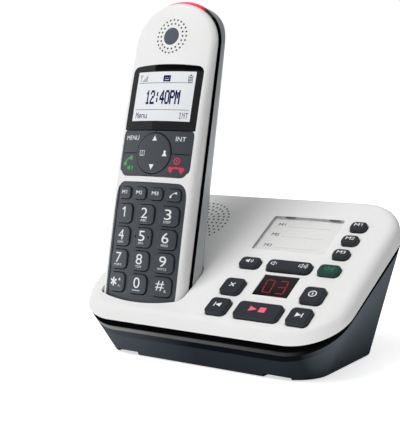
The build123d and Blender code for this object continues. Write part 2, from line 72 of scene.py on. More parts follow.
def moulded(name, colour, roughness, grain=2600.0, relief=0.012, drift=0.06, specular=0.5):
    """Moulded plastic: a fine grain raised as bump, and a slow drift of shade and gloss over the piece."""
    material = bpy.data.materials.new(name)
    material.use_nodes = True
    nodes, links = material.node_tree.nodes, material.node_tree.links
    shader = nodes["Principled BSDF"]
    shader.inputs["Specular IOR Level"].default_value = specular
    place = nodes.new("ShaderNodeTexCoord")
    cloud = nodes.new("ShaderNodeTexNoise")
    cloud.inputs["Scale"].default_value = cloud_scale
    cloud.inputs["Detail"].default_value = cloud_detail
    shade = nodes.new("ShaderNodeMix")
    shade.data_type = "RGBA"
    shade.inputs["A"].default_value = (*(channel * (1 - drift) for channel in colour), 1)
    shade.inputs["B"].default_value = (*(min(1.0, channel * (1 + drift)) for channel in colour), 1)
    gloss = nodes.new("ShaderNodeMapRange")
    gloss.inputs["To Min"].default_value = roughness * (1 - gloss_spread)
    gloss.inputs["To Max"].default_value = min(1.0, roughness * (1 + gloss_spread))
    speckle = nodes.new("ShaderNodeTexNoise")
    speckle.inputs["Scale"].default_value = grain
    speckle.inputs["Detail"].default_value = speckle_detail
    bump = nodes.new("ShaderNodeBump")
    bump.inputs["Strength"].default_value = bump_strength
    bump.inputs["Distance"].default_value = relief * mm
    links.new(place.outputs["Object"], cloud.inputs["Vector"])
    links.new(place.outputs["Object"], speckle.inputs["Vector"])
    links.new(cloud.outputs["Fac"], shade.inputs["Factor"])
    links.new(cloud.outputs["Fac"], gloss.inputs["Value"])
    links.new(shade.outputs["Result"], shader.inputs["Base Color"])
    links.new(gloss.outputs["Result"], shader.inputs["Roughness"])
    links.new(speckle.outputs["Fac"], bump.inputs["Height"])
    links.new(bump.outputs["Normal"], shader.inputs["Normal"])
    return material


def dress(material, *names):
    """Give CAD pieces their finish."""
    for name in names:
        mesh = frame["nodes"][name].data
        mesh.materials.clear()
        mesh.materials.append(material)


def height_over(material, point, normal):
    """Height of a place over a plane, as a value in the material's nodes, in metres."""
    nodes, links = material.node_tree.nodes, material.node_tree.links
    start = nodes.new("ShaderNodeVectorMath")
    start.operation = "SUBTRACT"
    start.inputs[1].default_value = point
    height = nodes.new("ShaderNodeVectorMath")
    height.operation = "DOT_PRODUCT"
    height.inputs[1].default_value = normal
    links.new(nodes["Texture Coordinate"].outputs["Object"], start.inputs[0])
    links.new(start.outputs["Vector"], height.inputs[0])
    return height.outputs["Value"]


def ramp(material, value, low, high, stops):
    """Colours along a value, from a low to a high limit: each stop is a share of the way and a grey or a colour."""
    nodes, links = material.node_tree.nodes, material.node_tree.links
    share = nodes.new("ShaderNodeMapRange")
    share.inputs["From Min"].default_value, share.inputs["From Max"].default_value = low, high
    band = nodes.new("ShaderNodeValToRGB")
    for element in range(len(stops) - 2):
        band.color_ramp.elements.new(0.5)
    for element, (place, colour) in zip(band.color_ramp.elements, stops):
        element.position = place
        element.color = (*np.broadcast_to(colour, 3).tolist(), 1)
    links.new(value, share.inputs["Value"])
    links.new(share.outputs["Result"], band.inputs["Fac"])
    return band.outputs["Color"]


def tinted(material, mask, colour):
    """Lay a colour over a material's own where a mask is white."""
    nodes, links = material.node_tree.nodes, material.node_tree.links
    own = nodes["Principled BSDF"].inputs["Base Color"]
    layer = nodes.new("ShaderNodeMix")
    layer.data_type = "RGBA"
    links.new(mask, layer.inputs["Factor"])
    links.new(own.links[0].from_socket, layer.inputs["A"])
    if hasattr(colour, "links"):
        links.new(colour, layer.inputs["B"])
    else:
        layer.inputs["B"].default_value = (*colour, 1)
    links.new(layer.outputs["Result"], own)


across = np.array((1.0, 0.0, 0.0))
base_middle, base_left, base_right = (0.0, 0.0, 0.0), -70.0 * mm, 70.0 * mm
band_foot = np.array((0.0, -45.0, 10.6)) * mm
band_rise = radians(34.8)
band_normal = (0.0, -sin(band_rise), cos(band_rise))
rim_front = np.array((0.0, -45.0, 17.6)) * mm
rim_rise = radians(27.3)
rim_normal = (0.0, -sin(rim_rise), cos(rim_rise))
painted_shadow_reach = 4.0 * mm
painted_band_shadow, painted_rim_shadow, painted_end_sheen_colour = (0.004, 0.005, 0.007), (0.002, 0.002, 0.0025), (0.19, 0.215, 0.245)
shell_slate = moulded("slate satin shell", slate_colour, 0.38, grain=2200.0, relief=0.02, specular=0.0)
# Painted shadow: the shell is darkened in a strip just under the trim band and just under the cover's rim, where they
# overhang it.
painted_shadow_under_band = ramp(shell_slate, height_over(shell_slate, band_foot, band_normal), -painted_shadow_reach, 0.0,
                  ((0.0, 0.0), (0.22, 0.0), (0.34, 0.85), (1.0, 0.85)))
painted_shadow_under_rim = ramp(shell_slate, height_over(shell_slate, rim_front, rim_normal), -painted_shadow_reach, 0.0,
                 ((0.0, 0.0), (0.18, 0.0), (0.28, 1.0), (1.0, 1.0)))
# Painted sheen: the shell is lightened towards its left and right ends.
painted_end_sheen = ramp(shell_slate, height_over(shell_slate, base_middle, across), base_left, base_right,
                 ((0.0, 0.9), (0.20, 0.40), (0.50, 0.0), (0.88, 0.0), (0.97, 0.8)))
tinted(shell_slate, painted_shadow_under_band, painted_band_shadow)
tinted(shell_slate, painted_end_sheen, painted_end_sheen_colour)
tinted(shell_slate, painted_shadow_under_rim, painted_rim_shadow)
dress(shell_slate, "base_lower_shell")

# Rubber feet: four round pads punched from black sheet rubber.
# They are glued into wells under the shell and keep the base from sliding.
dress(moulded("black foot rubber", (0.018, 0.018, 0.018), 0.85, grain=1500.0, relief=0.05), "rubber_feet")

# Trim band: a polished black strip of plastic between the shell and the cover, deep at the front.
# It is trapped between the two when they clip together. A painted highlight runs along its foot, pale at the left and
# fading out towards the right.
trim_black = moulded("polished black trim with its sheen", (0.003, 0.003, 0.0035), 0.16, relief=0.002, drift=0.1,
                     specular=0.0)
painted_highlight_reach = 4.0 * mm
painted_highlight_line = ramp(trim_black, height_over(trim_black, band_foot, band_normal), 0.0, painted_highlight_reach,
            ((0.0, 0.0), (0.06, 1.0), (0.45, 1.0), (0.62, 0.0)))
painted_sheen = ramp(trim_black, height_over(trim_black, base_middle, across), base_left, base_right,
             ((0.0, 0.62), (0.10, 0.42), (0.40, 0.17), (0.70, 0.10), (0.84, 0.06), (0.90, 0.006)))
tinted(trim_black, painted_highlight_line, painted_sheen)
dress(trim_black, "base_trim_band")

# Top cover of the base: white plastic with a satin grain, moulded in one piece with the handset's cradle.
# The handset's front cover comes from the same white plastic.
white_colour = (0.86, 0.86, 0.85)
white_satin = moulded("white satin cover", white_colour, 0.36, grain=3200.0, relief=0.006, drift=0.012)
dress(white_satin, "base_top_cover")

# Inside the base: a green board with its switches, a loudspeaker under the grille, sprung charging pins
# of plated brass, and two black sockets soldered to the board at the back.
green_board = moulded("green board lacquer", (0.03, 0.17, 0.08), 0.35, grain=900.0, relief=0.03, drift=0.15)
dress(green_board, "base_circuit_board", "handset_circuit_board")
black_paper = moulded("black sounder paper", (0.012, 0.012, 0.013), 0.8, grain=1800.0, relief=0.06, drift=0.2)
dress(black_paper, "base_loudspeaker", "earpiece_receiver", "microphone")
dress(moulded("black socket plastic", (0.015, 0.015, 0.016), 0.5), "line_socket", "power_inlet")


def plated(name, colour, roughness):
    """Plated metal: the moulded grain with a metal shader, finer and less deep."""
    material = moulded(name, colour, roughness, grain=4000.0, relief=0.004, drift=0.08)
    material.node_tree.nodes["Principled BSDF"].inputs["Metallic"].default_value = 1.0
    return material


dress(plated("plated contacts", (0.83, 0.74, 0.52), 0.28), "charging_pins", "battery_contacts",
      "handset_charge_contacts")

# Base keys: caps of slate plastic that stand proud of the panel, each over its own switch.
# The signs are printed on top in white, green and red ink.
panel_joint = next(joint for joint in frame["joints"] if joint["name"] == "volume_rock")
press_joint = next(joint for joint in frame["joints"] if joint["name"] == "play_stop_key_press")
panel_up = np.array(panel_joint["axis"])
panel_out = -np.array(press_joint["axis"])
rocker_place = np.array((30.3, -9.2, -3.0))
panel_origin = np.array(panel_joint["pos_m"]) - mm * (rocker_place @ np.stack((across, panel_up, panel_out)))
base_keys = ("previous_key", "play_stop_key", "next_key", "delete_key", "power_key", "ringer_mute_key",
             "volume_rocker", "speakerphone_key", "base_memory_key_1", "base_memory_key_2", "base_memory_key_3")
key_slate = moulded("slate key caps", (0.022, 0.026, 0.032), 0.48, grain=2800.0, relief=0.012, specular=0.3)
dress(key_slate, *base_keys)
dress(moulded("green key cap", (0.013, 0.055, 0.045), 0.48, grain=2800.0, specular=0.3), "speakerphone_key")
ink_film, ink_sink = 0.05, 0.02
sign_lift, memory_lift = 0.2, 0.7


def ink(name, colour, glow=0.0, specular=0.5):
    """Printing ink: a matt film with a slight unevenness; a lamp behind it adds glow."""
    material = moulded(name, colour, 0.5, grain=3500.0, relief=0.004, drift=0.03, specular=specular)
    shader = material.node_tree.nodes["Principled BSDF"]
    shader.inputs["Emission Color"].default_value = (*colour, 1)
    shader.inputs["Emission Strength"].default_value = glow
    return material


def panel_point(x, y, level):
    """Points over the key panel: across it, up its slope and out of it, in millimetres."""
    axes = np.stack((across, panel_up, panel_out))
    return panel_origin + mm * (np.stack((x, y, level), axis=-1) @ axes)


def corners(name):
    """All corner points of a CAD piece."""
    mesh = frame["nodes"][name].data
    points = np.empty(3 * len(mesh.vertices), np.float32)
    mesh.vertices.foreach_get("co", points)
    return points.reshape(-1, 3)


def cap_place(name, origin, up, out):
    """Middle of a key's cap across and up its face, and the level of its top, in millimetres."""
    local = (corners(name) - origin) @ np.stack((across, up, out), axis=1) / mm
    middle = (local.min(axis=0) + local.max(axis=0)) / 2
    return middle[0], middle[1], local[:, 2].max()


def bar(path, width):
    """Flat bar of ink: a square-cut section carried along a path, four corners at each station, capped."""
    path = np.asarray(path, float)
    along = np.gradient(path, axis=0)
    along /= np.linalg.norm(along, axis=1, keepdims=True)
    side = np.stack((-along[:, 1], along[:, 0]), axis=1) * width / 2
    flat = np.stack((path + side, path - side, path - side, path + side), axis=1).reshape(-1, 2)
    points = np.column_stack((flat, np.tile((1.0, 1.0, 0.0, 0.0), len(path))))
    first, turn = np.arange(len(path) - 1)[:, None] * 4, np.arange(4)
    after = (turn + 1) % 4
    quads = np.stack((first + turn, first + after, first + 4 + after, first + 4 + turn), axis=-1)
    ends = np.stack((turn, len(points) - 1 - turn))
    return points, quads.reshape(-1, 4).tolist() + ends.tolist()


def patch(outline):
    """Flat patch of ink: an outline as the top and the foot of a thin solid, with a side on each edge."""
    outline = np.asarray(outline, float)
    count = len(outline)
    top, foot = np.arange(count), np.arange(count) + count
    sides = np.stack((top, np.roll(top, -1), np.roll(foot, -1), foot), axis=1)
    points = np.column_stack((np.tile(outline, (2, 1)), np.repeat((1.0, 0.0), count)))
    return points, [top.tolist(), foot[::-1].tolist()] + sides.tolist()


def arc(radius, start, end, steps=24):
    """Points on a circle from one angle to another, in degrees."""
    angle = np.radians(np.linspace(start, end, steps))
    return radius * np.stack((np.cos(angle), np.sin(angle)), axis=1)


def letters(words, height, width):
    """Letters as thin solids, brought to a height and a width and centred."""
    curve = bpy.data.curves.new("letters", "FONT")
    curve.body = words
    curve.extrude = 0.5
    curve.resolution_u = 6
    holder = bpy.data.objects.new("letters", curve)
    bpy.context.scene.collection.objects.link(holder)
    mesh = bpy.data.meshes.new_from_object(holder)
    points = np.empty(3 * len(mesh.vertices), np.float32)
    mesh.vertices.foreach_get("co", points)
    points = points.reshape(-1, 3).astype(float)
    low, high = points.min(axis=0), points.max(axis=0)
    points = (points - (low + high) / 2) * (np.array((width, height, 1.0)) / (high - low)) + (0, 0, 0.5)
    faces = [list(face.vertices) for face in mesh.polygons]
    bpy.data.objects.remove(holder)
    bpy.data.curves.remove(curve)
    bpy.data.meshes.remove(mesh)
    return points, faces


def moved(shape, x, y):
    """A flat shape set down at another place on its face."""
    return shape[0] + (x, y, 0), shape[1]


def together(shapes):
    """Several flat shapes as one."""
    starts = np.cumsum([0] + [len(points) for points, faces in shapes])
    faces = [[corner + start for corner in face] for start, (points, group) in zip(starts, shapes)
             for face in group]
    return np.concatenate([points for points, faces in shapes]), faces


def piece(name, points, faces, material, body, slot):
    """A new piece from its points and faces, faces turned outwards, riding on a body."""
    mesh = bpy.data.meshes.new(name)
    mesh.from_pydata(np.asarray(points).tolist(), [], faces)
    shell = bmesh.new()
    shell.from_mesh(mesh)
    bmesh.ops.remove_doubles(shell, verts=shell.verts, dist=1e-7)
    bmesh.ops.recalc_face_normals(shell, faces=shell.faces)
    shell.to_mesh(mesh)
    shell.free()
    mesh.materials.append(material)
    made = bpy.data.objects.new(name, mesh)
    bpy.context.scene.collection.objects.link(made)
    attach(made, body)
    return made


def legend(name, shapes, place, level, material, body, slot):
    """Printed signs: flat shapes laid on a face as a thin film that starts just inside the surface."""
    points, faces = together(shapes)
    height = level + points[:, 2] * (ink_film + ink_sink) - ink_sink
    return piece(name, place(points[:, 0], points[:, 1], height), faces, material, body, slot)


def strokes(path, width):
    """Straight bars of ink from each corner of a path to the next."""
    return [bar(ends, width) for ends in zip(path[:-1], path[1:])]


def loudspeaker_sign(waves, line=0.32, outlined=False):
    """Loudspeaker seen from the side, filled or as an outline, with a number of sound waves."""
    cone = [(-1.9, -0.6), (-1.1, -0.6), (-0.1, -1.4), (-0.1, 1.4), (-1.1, 0.6), (-1.9, 0.6)]
    body = strokes(cone + cone[:1], line) if outlined else [patch(cone)]
    return body + [bar(arc(0.9 + 0.75 * wave, -42, 42, 9), line) for wave in range(waves)]


def figure_one(height):
    """The figure 1: a stem with a flag at its top."""
    outline = ((0.06, -0.5), (0.21, -0.5), (0.21, 0.5), (0.09, 0.5), (-0.2, 0.31), (-0.2, 0.17), (0.06, 0.29))
    return patch(np.array(outline) * height)


def memory_sign(number, height, width):
    """M and a number, side by side."""
    half, line, foot = 0.24 * width, 0.22 * height, -0.5 * height
    arch = [(-half, foot), (-half, -foot), (0, 0.12 * foot), (half, -foot), (half, foot)]
    digit = figure_one(height) if number == 1 else letters(str(number), height, 0.36 * width)
    return [moved(stroke, -0.2 * width, 0) for stroke in strokes(arch, line)] + [moved(digit, 0.32 * width, 0)]


cross_sign = [bar([(-1.2, -1.2), (1.2, 1.2)], 0.55), bar([(-1.2, 1.2), (1.2, -1.2)], 0.55)]
power_sign = [bar(arc(1.75, 0, 360, 41), 0.5), bar([(0, -0.8), (0, 0.8)], 0.5)]
back_sign = [bar([(-1.55, -1.35), (-1.55, 1.35)], 0.5), patch([(1.6, -1.35), (1.6, 1.35), (-1.2, 0)])]
forward_sign = [bar([(1.55, -1.35), (1.55, 1.35)], 0.5), patch([(-1.6, 1.35), (-1.6, -1.35), (1.2, 0)])]
play_sign = [patch([(-4.2, 1.75), (-4.2, -1.75), (-0.4, 0)]),
             patch([(0.7, -1.6), (3.9, -1.6), (3.9, 1.6), (0.7, 1.6)])]
volume_sign = [moved(sign, -7.2, 0) for sign in loudspeaker_sign(1, outlined=True)]
volume_sign += [moved(sign, 7.2, 0) for sign in loudspeaker_sign(3, outlined=True)]
white_ink = ink("white ink", (0.86, 0.86, 0.86))
green_ink = ink("green ink", (0.030, 0.22, 0.12))
red_ink = ink("rose ink", (0.86, 0.13, 0.22), glow=0.1)
base_signs = {
    "previous_key": (back_sign, white_ink),
    "play_stop_key": (play_sign, red_ink),
    "next_key": (forward_sign, white_ink),
    "delete_key": (cross_sign, white_ink),
    "power_key": (power_sign, white_ink),
    "ringer_mute_key": (loudspeaker_sign(2), white_ink),
    "volume_rocker": (volume_sign, white_ink),
    "speakerphone_key": (loudspeaker_sign(3, outlined=True), green_ink),
}
for number in (1, 2, 3):
    base_signs[f"base_memory_key_{number}"] = (memory_sign(number, 2.0, 4.4), white_ink)
for name, (signs, colour) in base_signs.items():
    x, y, level = cap_place(name, panel_origin, panel_up, panel_out)
    lift = memory_lift if "memory" in name else sign_lift
    legend(name + "_sign", [moved(sign, x, y + lift) for sign in signs], panel_point, level, colour, name,
           "slate_key")

# Message counter: a smoked window with two seven-bar figures lit in red behind it.
# It is pushed up into its opening from the board.
dress(moulded("smoked counter window", (0.010, 0.008, 0.009), 0.12, relief=0.001, drift=0.15, specular=0.2),
      "message_counter")
figure_width, figure_height, figure_slant, bar_width = 4.0, 8.6, -0.10, 0.5
figure_left, figure_right, figure_drop = 3.5, 3.2, 0.4
lit_red = ink("lit red figures", (0.30, 0.008, 0.014), glow=0.25)
seven_bars = {
    "a": ((0, 1), (1, 1)), "b": ((1, 1), (1, 0.5)), "c": ((1, 0.5), (1, 0)), "d": ((1, 0), (0, 0)),
    "e": ((0, 0), (0, 0.5)), "f": ((0, 0.5), (0, 1)), "g": ((0, 0.5), (1, 0.5)),
}


def figure(lit, x, y):
    """Seven-bar figure: the lit bars, each a straight run between two corners, drawn in at both ends."""
    shapes = []
    for name in lit:
        ends = (np.array(seven_bars[name]) - 0.5) * (figure_width, figure_height)
        ends[:, 0] += figure_slant * ends[:, 1]
        middle = ends.mean(axis=0)
        inner = middle + (ends - middle) * (1 - bar_width / np.linalg.norm(ends[1] - ends[0]))
        shapes.append(moved(bar(inner, bar_width), x, y))
    return shapes


x, y, level = cap_place("message_counter", panel_origin, panel_up, panel_out)
nought = figure("abcdef", x - figure_left, y - figure_drop)
three = figure("abgcd", x + figure_right, y - figure_drop)
legend("counter_figures", nought + three, panel_point, level, lit_red, "base", "counter_face")

# Index card: a slip of white card with three ruled lines for names, under a clear window that snaps in.
# The printing is grey; the window has two slots at its top to lift it out by, and a painted shadow runs along the top
# and left edges of its recess.
card_rows, label_left = (8.3, 0.3, -8.3), 12.8
rule_left, rule_right, rule_drop, rule_width = -9.0, 13.6, 1.3, 0.16
window_half, window_foot, window_top = 18.7, 13.0, 13.1
slot_starts, slot_length, slot_drop = (-13.0, 11.0), 5.5, 0.1
dress(moulded("index card", (0.80, 0.80, 0.785), 0.8, grain=900.0, relief=0.008, drift=0.008), "index_card")
clear_sheet = moulded("clear window sheet", (0.9, 0.9, 0.9), 0.08, relief=0.0005, drift=0.0)
clear_sheet.node_tree.nodes["Principled BSDF"].inputs["Alpha"].default_value = 0.03
dress(clear_sheet, "card_window")
x, y, level = cap_place("index_card", panel_origin, panel_up, panel_out)
card_labels, card_rules = [], []
for number, row in zip((1, 2, 3), card_rows):
    card_labels += [moved(sign, x - label_left, y + row) for sign in memory_sign(number, 2.0, 4.1)]
    card_rules.append(moved(bar([(rule_left, 0), (rule_right, 0)], rule_width), x, y + row - rule_drop))
dark_card_ink, pale_card_ink = ink("dark card ink", (0.09, 0.09, 0.09)), ink("pale card ink", (0.55, 0.55, 0.55))
legend("card_labels", card_labels, panel_point, level, dark_card_ink, "base", "card_paper")
legend("card_rules", card_rules, panel_point, level, pale_card_ink, "base", "card_paper")
x, y, level = cap_place("card_window", panel_origin, panel_up, panel_out)
edge_left, edge_right, edge_top, slot_row = x - window_half, x + window_half, y + window_top, y + window_top - slot_drop
# Painted shadow: a grey line along the left and top edges of the window's recess.
window_edge_shadow = [bar([(edge_left, y - window_foot), (edge_left, edge_top)], 0.5),
               bar([(edge_left, edge_top), (edge_right, edge_top)], 0.4)]
window_slots = [bar([(x + start, slot_row), (x + start + slot_length, slot_row)], 0.9) for start in slot_starts]
painted_edge_shadow, slot_dark = ink("painted shadow along window edge", (0.16, 0.165, 0.18)), ink("dark window slots", (0.03, 0.03, 0.035))
legend("card_window_edge_shadow", window_edge_shadow, panel_point, level, painted_edge_shadow, "base", "clear_window")
legend("card_window_slots", window_slots, panel_point, level + 0.01, slot_dark, "base", "clear_window")

# Sound holes of the loudspeaker: small holes in rings through the cover, left of the card.
# Pins in the mould leave them open; only their dark mouths are made here.
hole_black = ink("dark hole mouths", (0.006, 0.007, 0.008), specular=0.0)
grille_place, grille_pitch, grille_rings, grille_hole = (-36.3, 20.2), 2.65, 6, 0.55


def hole_ring(hole, radius, count):
    """Mouths of small holes, eight-sided, evenly round a circle."""
    return [moved(patch(arc(hole, 0, 315, 8)), *place) for place in arc(radius, 0, 360, count + 1)[:-1]]


grille = hole_ring(grille_hole, 0.0, 1)
for ring in range(1, grille_rings + 1):
    grille += hole_ring(grille_hole, grille_pitch * ring, 6 * ring)
legend("loudspeaker_holes", [moved(hole, *grille_place) for hole in grille], panel_point, 0, hole_black, "base",
       "white_cover")

# Handset covers: the white front shell and a silver-painted rear shell with the battery door in it.
# They meet at the black trim band, which stands a little proud, and hooks inside hold them.
# The back is rounder and the top flatter here than in the solids, as on the handset that is seen.
lean = np.array(next(joint for joint in frame["joints"] if joint["name"] == "handset_lift")["axis"])
pivot_joint = next(joint for joint in frame["joints"] if joint["name"] == "navigation_rock_up_down")
face_out = np.cross(across, lean)
navigation_height, navigation_depth = 62.45, -3.0
handset_origin = np.array(pivot_joint["pos_m"]) - mm * (navigation_height * lean + navigation_depth * face_out)
handset_axes = np.stack((across, lean, face_out))
crown_radius, bow_radius, bow_height = 86.0, 1100.0, 40.0
solid_shoulder, solid_rise, lens_clear = 109.5, 30.0, 107.0
shoulder, front_crest, trim_crest = 116.4, 137.0, 138.9
seam_level, back_level, back_depth = -9.2, -11.0, 15.0
back_radius, back_half, back_taper = 62.0, 24.6, 0.08
cradle_clear, cradle_blend, taper_run = 20.0, 35.0, 119.0
front_widen, rear_widen, trim_widen = 23.3 / 23.5, 23.9 / 23.5, 23.9 / 23.2
crease = radians(35)


def bow_fall(v):
    """Fall of the handset's front along its length: a long arc from its highest point."""
    return bow_radius - np.sqrt(bow_radius**2 - (v - bow_height) ** 2)


def crowned(u, v):
    """Level of the handset's front face: an arc across it and a long arc up it, both falling from the middle."""
    return np.sqrt(crown_radius**2 - u**2) - crown_radius - bow_fall(v)


def slimness(u, v):
    """Share of the back's depth that is kept: an ellipse across it in place of an arc, and less at the top.

    In the cradle the whole depth is kept, and a smooth step joins the two.
    """
    arc_depth = back_depth - back_radius + np.sqrt(back_radius**2 - u**2)
    ellipse_depth = back_depth * np.sqrt(1 - (u / back_half) ** 2)
    upper = 1 - back_taper * np.clip((v - cradle_clear) / taper_run, 0, 1) ** 2
    free = np.clip((v - cradle_clear) / cradle_blend, 0, 1)
    return 1 + free**2 * (3 - 2 * free) * (ellipse_depth / arc_depth * upper - 1)


def redrawn(name, widen, crest, material, body, slot):
    """A cover from its solid's corners: widened, its top brought to a flatter ellipse and its back made rounder."""
    u, v, level = ((corners(name) - handset_origin) / mm @ handset_axes.T).T
    u = u * widen
    over = np.clip((v - solid_shoulder) / solid_rise, 0, None) * (crest - shoulder)
    height = np.where(v < lens_clear, v, np.interp(v, (lens_clear, solid_shoulder), (lens_clear, shoulder))) + over
    front = np.clip((level - seam_level) / (crowned(u, v) - seam_level), 0, 1)
    level = level + front * (bow_fall(v) - bow_fall(height))
    behind = np.minimum(level - back_level, 0)
    level = level + behind * (slimness(u, height) - 1)
    points = handset_origin + mm * (np.stack((u, height, level), axis=-1) @ handset_axes)
    faces = [list(face.vertices) for face in frame["nodes"][name].data.polygons]
    made = piece(name + "_drawn", points, faces, material, body, slot)
    made.data.shade_smooth()
    made.data.set_sharp_from_angle(angle=crease)
    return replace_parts(made, name)


silver = moulded("silver satin paint", (0.40, 0.42, 0.44), 0.36, grain=5200.0, relief=0.006, drift=0.05)
silver.node_tree.nodes["Principled BSDF"].inputs["Metallic"].default_value = 0.35
redrawn("handset_front_cover", front_widen, front_crest, white_satin, "handset", "white_cover")
redrawn("handset_rear_cover", rear_widen, trim_crest, silver, "handset", "silver_shell")
redrawn("battery_door", rear_widen, trim_crest, silver, "battery_door", "silver_shell")
seam_black = moulded("black seam trim", (0.002, 0.002, 0.0025), 0.35, relief=0.002, drift=0.1, specular=0.0)
redrawn("handset_trim_band", trim_widen, trim_crest, seam_black, "handset", "black_trim")

# Light pipe: a strip of red acrylic in the seam at the top of the handset, lit from inside when it rings.
# The glow is strongest in the middle and dies away into the black trim at both ends.
red_acrylic = moulded("red light acrylic", (0.55, 0.02, 0.05), 0.2, relief=0.002, drift=0.05)
pipe_left, pipe_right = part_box("top_light_pipe")
pipe_end, pipe_glow = (0.003, 0.002, 0.002), 0.7
glow_stops = (
    (0.0, (0.02, 0.0, 0.002)), (0.10, (0.10, 0.0, 0.01)), (0.22, (0.55, 0.02, 0.06)), (0.42, (0.95, 0.30, 0.38)),
    (0.60, (0.90, 0.10, 0.18)), (0.78, (0.70, 0.01, 0.05)), (0.86, (0.20, 0.0, 0.01)), (0.90, (0.003, 0.0, 0.0)),
)
pipe_run = height_over(red_acrylic, base_middle, across)
glow = ramp(red_acrylic, pipe_run, pipe_left.x, pipe_right.x, glow_stops)
edge_dark = ramp(red_acrylic, pipe_run, pipe_left.x, pipe_right.x,
                 ((0.0, 0.9), (0.12, 0.5), (0.25, 0.0), (0.80, 0.0), (0.89, 1.0)))
tinted(red_acrylic, edge_dark, pipe_end)
shader = red_acrylic.node_tree.nodes["Principled BSDF"]
red_acrylic.node_tree.links.new(glow, shader.inputs["Emission Color"])
shader.inputs["Emission Strength"].default_value = pipe_glow
redrawn("top_light_pipe", trim_widen, trim_crest, red_acrylic, "handset", "red_light")

# Earpiece disc: a plain dark disc let into the front shell in the middle of the sound holes.
# It is a satin stamping with a faint dome.
earpiece_height, disc_radius, disc_rise, disc_lift, disc_foot = 119.9, 4.3, 0.12, 0.02, -0.1
ear_rings, ear_hole, ear_shift = ((8.2, 24), (6.25, 18)), 0.47, 0.2


def face_point(u, v, level):
    """Points over the handset's front face: across it, up it and out of its crowned surface, in millimetres."""
    return handset_origin + mm * (np.stack((u, v, crowned(u, v) + level), axis=-1) @ handset_axes)


def dome(u, v, radius, rise, rings=8, sectors=48):
    """Low dome: rise times one minus the fourth power of the radius share, on rings and sectors, with a foot."""
    share = np.append(np.linspace(0, 1, rings), 1.0)[:, None]
    level = rise * (1 - share**4)
    level[-1] = disc_foot
    angle = np.linspace(0, 2 * np.pi, sectors, endpoint=False)[None, :]
    points = face_point(u + radius * share * np.cos(angle), v + radius * share * np.sin(angle), level + disc_lift)
    ring, sector = np.arange(rings)[:, None] * sectors, np.arange(sectors)[None, :]
    after = (sector + 1) % sectors
    quads = np.stack((ring + sector, ring + after, ring + sectors + after, ring + sectors + sector), axis=-1)
    underside = np.arange(rings * sectors, (rings + 1) * sectors)
    return points.reshape(-1, 3), quads.reshape(-1, 4).tolist() + [underside.tolist()]


disc_slate = moulded("slate disc", (0.070, 0.085, 0.105), 0.3, grain=3000.0, relief=0.004, drift=0.05)
piece("earpiece_disc", *dome(0.0, earpiece_height, disc_radius, disc_rise), disc_slate, "handset", "slate_keypad")
ear_holes = [hole for radius, count in ear_rings for hole in hole_ring(ear_hole, radius, count)]
legend("earpiece_holes", [moved(hole, ear_shift, earpiece_height) for hole in ear_holes], face_point, 0, hole_black,
       "handset", "white_cover")

# Display: a black acrylic lens with a clear window, and a pale liquid-crystal screen close under it.
# The screen's signs are dark blue dots on a lit ground.
lens_black = moulded("black lens acrylic", (0.020, 0.020, 0.022), 0.05, relief=0.0006, drift=0.2, specular=0.05)
lens_half, lens_foot, lens_top, lens_arch, lens_corner, lens_level = 20.5, 73.8, 105.0, 1.0, 3.0, -0.03
shine_blur, upper_foot, upper_top = 0.4 * mm, 100.0 * mm, 106.0 * mm
upper_black, painted_reflection_grey = (0.002, 0.002, 0.002), (0.034, 0.034, 0.036)
# Painted reflection: the lens is made grey left of a slanting line. Its colour is also made darker along its top strip.
shine_start, shine_end = np.array((-6.4, 104.2)), np.array((-3.2, 76.4))
shine_along = (shine_end - shine_start) / np.linalg.norm(shine_end - shine_start)
shine_normal = shine_along[1] * across - shine_along[0] * lean
shine_place = handset_origin + mm * (shine_start @ handset_axes[:2])
painted_reflection = ramp(lens_black, height_over(lens_black, shine_place, shine_normal), -shine_blur, shine_blur,
             ((0.0, 0.0), (1.0, 1.0)))
upper = ramp(lens_black, height_over(lens_black, handset_origin, lean), upper_foot, upper_top,
             ((0.0, 0.0), (0.35, 0.0), (0.6, 1.0)))
tinted(lens_black, upper, upper_black)
tinted(lens_black, painted_reflection, painted_reflection_grey)
dress(lens_black, "display_lens")
dress(moulded("display glass", (0.75, 0.77, 0.79), 0.2, relief=0.001), "display_module")
screen_middle = (0.2, 90.25)
screen_width, screen_height = 33.6, 24.2
screen_level, dot_level = 0.03, 0.06
screen_ground = ink("lit screen ground", (0.74, 0.755, 0.775), glow=0.12)
screen_blue = ink("screen blue dots", (0.006, 0.010, 0.075), specular=0.1)
screen_grey = ink("screen grey line", (0.20, 0.21, 0.28), specular=0.1)
shader = screen_ground.node_tree.nodes["Principled BSDF"]
shader.inputs["Coat Weight"].default_value = 1.0
shader.inputs["Coat Roughness"].default_value = 0.04


def slab(x, y):
    """Thin slab: a grid of points as its top and again as its foot, with a wall on each edge of the grid."""
    grid = np.arange(x.size).reshape(x.shape)
    cells = np.stack((grid[:-1, :-1], grid[:-1, 1:], grid[1:, 1:], grid[1:, :-1]), axis=-1).reshape(-1, 4)
    edge = np.concatenate((grid[0, :-1], grid[:-1, -1], grid[-1, :0:-1], grid[:0:-1, 0]))
    walls = np.stack((edge, np.roll(edge, -1), np.roll(edge, -1) + x.size, edge + x.size), axis=1)
    points = np.column_stack((np.tile(x.ravel(), 2), np.tile(y.ravel(), 2), np.repeat((1.0, 0.0), x.size)))
    return points, cells.tolist() + (cells[:, ::-1] + x.size).tolist() + walls.tolist()


def sheet(width, height, across_steps=28, up_steps=12):
    """Thin rectangular slab."""
    return slab(*np.meshgrid(np.linspace(-width / 2, width / 2, across_steps),
                             np.linspace(-height / 2, height / 2, up_steps)))


